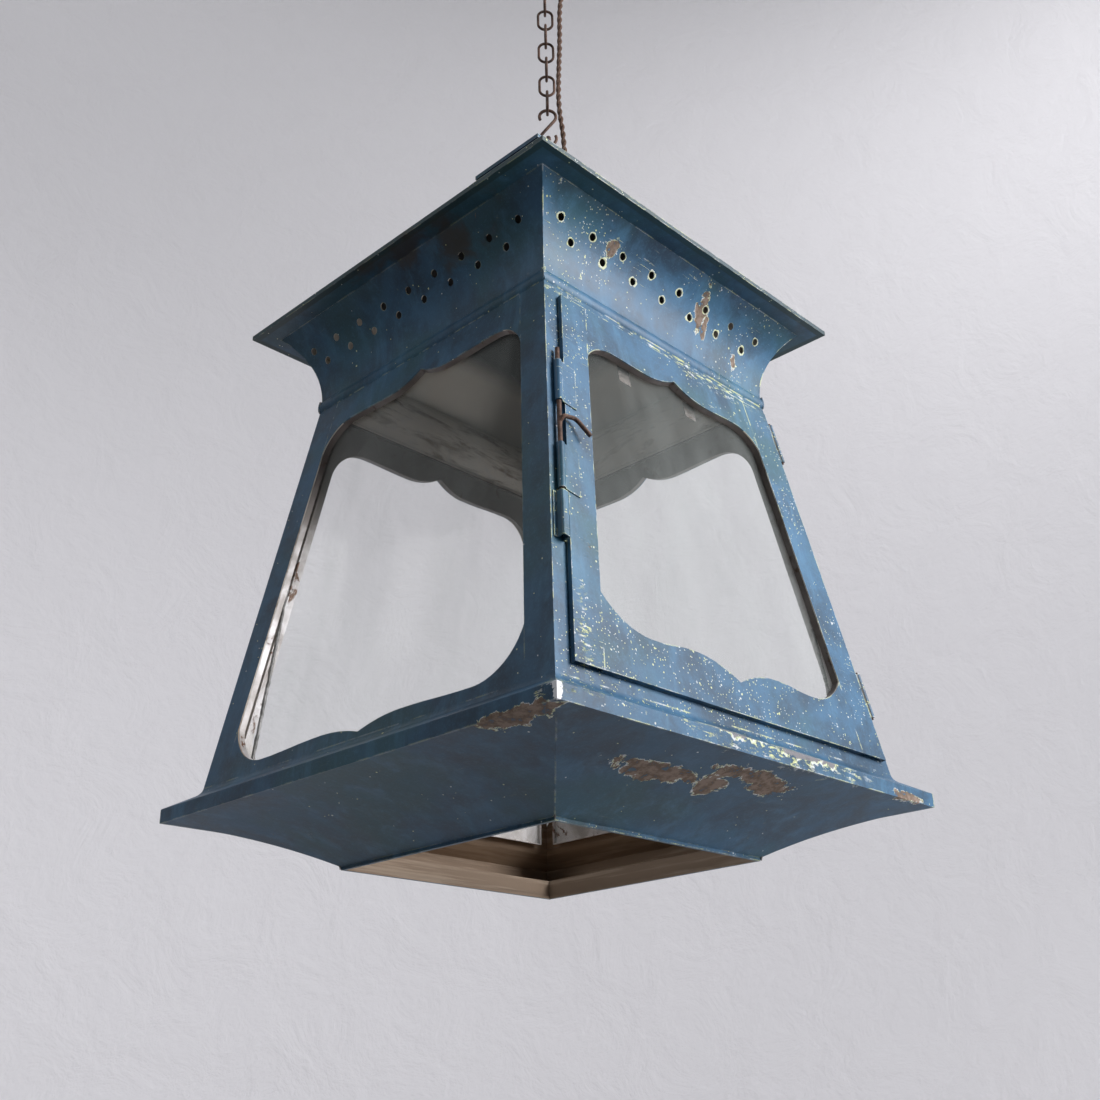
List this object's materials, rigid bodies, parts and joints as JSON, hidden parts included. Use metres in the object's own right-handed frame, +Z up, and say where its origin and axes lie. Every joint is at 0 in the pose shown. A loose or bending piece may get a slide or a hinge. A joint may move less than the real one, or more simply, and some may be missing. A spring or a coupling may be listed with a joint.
{
  "type": "hanging lantern",
  "caption": "Tapering square tinplate hanging lantern with scalloped windows, a latched side door, a vented coved crown and an open base.",
  "frame": {"origin": "middle of the ceiling plate's upper face, where it meets the ceiling", "axes": "+Z up; the door is on the -Y side and its hinge is towards +X"},
  "size_m": [0.42, 0.42, 0.9559],
  "materials": {
    "blue_paint": "worn blue paint with cream specks and rust",
    "bare_tin": "bare tinplate, dulled and rusting",
    "rusty_iron": "rusty brown iron wire",
    "fitting_iron": "dull brown-black iron",
    "old_brass": "tarnished brass",
    "flex_cover": "brown braided cotton over twisted cores",
    "pane_glass": "clear, slightly dusty"
  },
  "bodies": {
    "hanger": {"ceiling_plate": "fitting_iron", "ceiling_hook": "rusty_iron", "flex_gland": "fitting_iron", "chain_links": "rusty_iron", "s_hook": "rusty_iron", "flex": "flex_cover"},
    "lantern": {"back_bottom_scallop": "blue_paint", "back_glass": "pane_glass", "back_glazing_tray": "bare_tin", "back_top_scallop": "blue_paint", "body_knuckles": "blue_paint", "bolt_keeper": "blue_paint", "cap_nuts": "rusty_iron", "crown_cove_back": "blue_paint", "crown_cove_front": "blue_paint", "crown_cove_left": "blue_paint", "crown_cove_right": "blue_paint", "eave_rim": "blue_paint", "eyebolt": "rusty_iron", "flex_nipple": "old_brass", "front_header": "blue_paint", "front_sill": "blue_paint", "hinge_pins": "rusty_iron", "lamp_holder": "old_brass", "left_bottom_scallop": "blue_paint", "left_glass": "pane_glass", "left_glazing_tray": "bare_tin", "left_top_scallop": "blue_paint", "mouth_collar": "blue_paint", "neck_band": "blue_paint", "post_back_left": "blue_paint", "post_back_right": "blue_paint", "post_front_left": "blue_paint", "post_front_right": "blue_paint", "right_bottom_scallop": "blue_paint", "right_glass": "pane_glass", "right_glazing_tray": "bare_tin", "right_top_scallop": "blue_paint", "roof_back": "blue_paint", "roof_front": "blue_paint", "roof_left": "blue_paint", "roof_right": "blue_paint", "skirt_back": "blue_paint", "skirt_front": "blue_paint", "skirt_left": "blue_paint", "skirt_right": "blue_paint", "soffit_back": "blue_paint", "soffit_front": "blue_paint", "soffit_left": "blue_paint", "soffit_right": "blue_paint", "top_cap": "blue_paint"},
    "door": {"door_latch_stile": "blue_paint", "door_hinge_stile": "blue_paint", "door_top_rail": "blue_paint", "door_bottom_rail": "blue_paint", "door_glazing_tray": "bare_tin", "door_glass": "pane_glass", "door_knuckles": "blue_paint", "bolt_sleeves": "blue_paint"},
    "bolt": {"slide_bolt": "rusty_iron"}
  },
  "joints": [
    {"name": "lantern_swing", "type": "hinge", "parent": "hanger", "child": "lantern", "pos_m": [0, 0, -0.2687], "axis": [0.7071, -0.7071, 0], "range_deg": [-12, 12], "deforming": ["flex"]},
    {"name": "door_hinge", "type": "hinge", "parent": "lantern", "child": "door", "pos_m": [0.17851, -0.18558, -0.90655], "axis": [-0.1528, 0.1528, 0.9764], "range_deg": [0, 110]},
    {"name": "bolt_slide", "type": "slide", "parent": "door", "child": "bolt", "axis": [-0.1528, -0.1528, -0.9764], "range_m": [0, 0.016]}
  ]
}
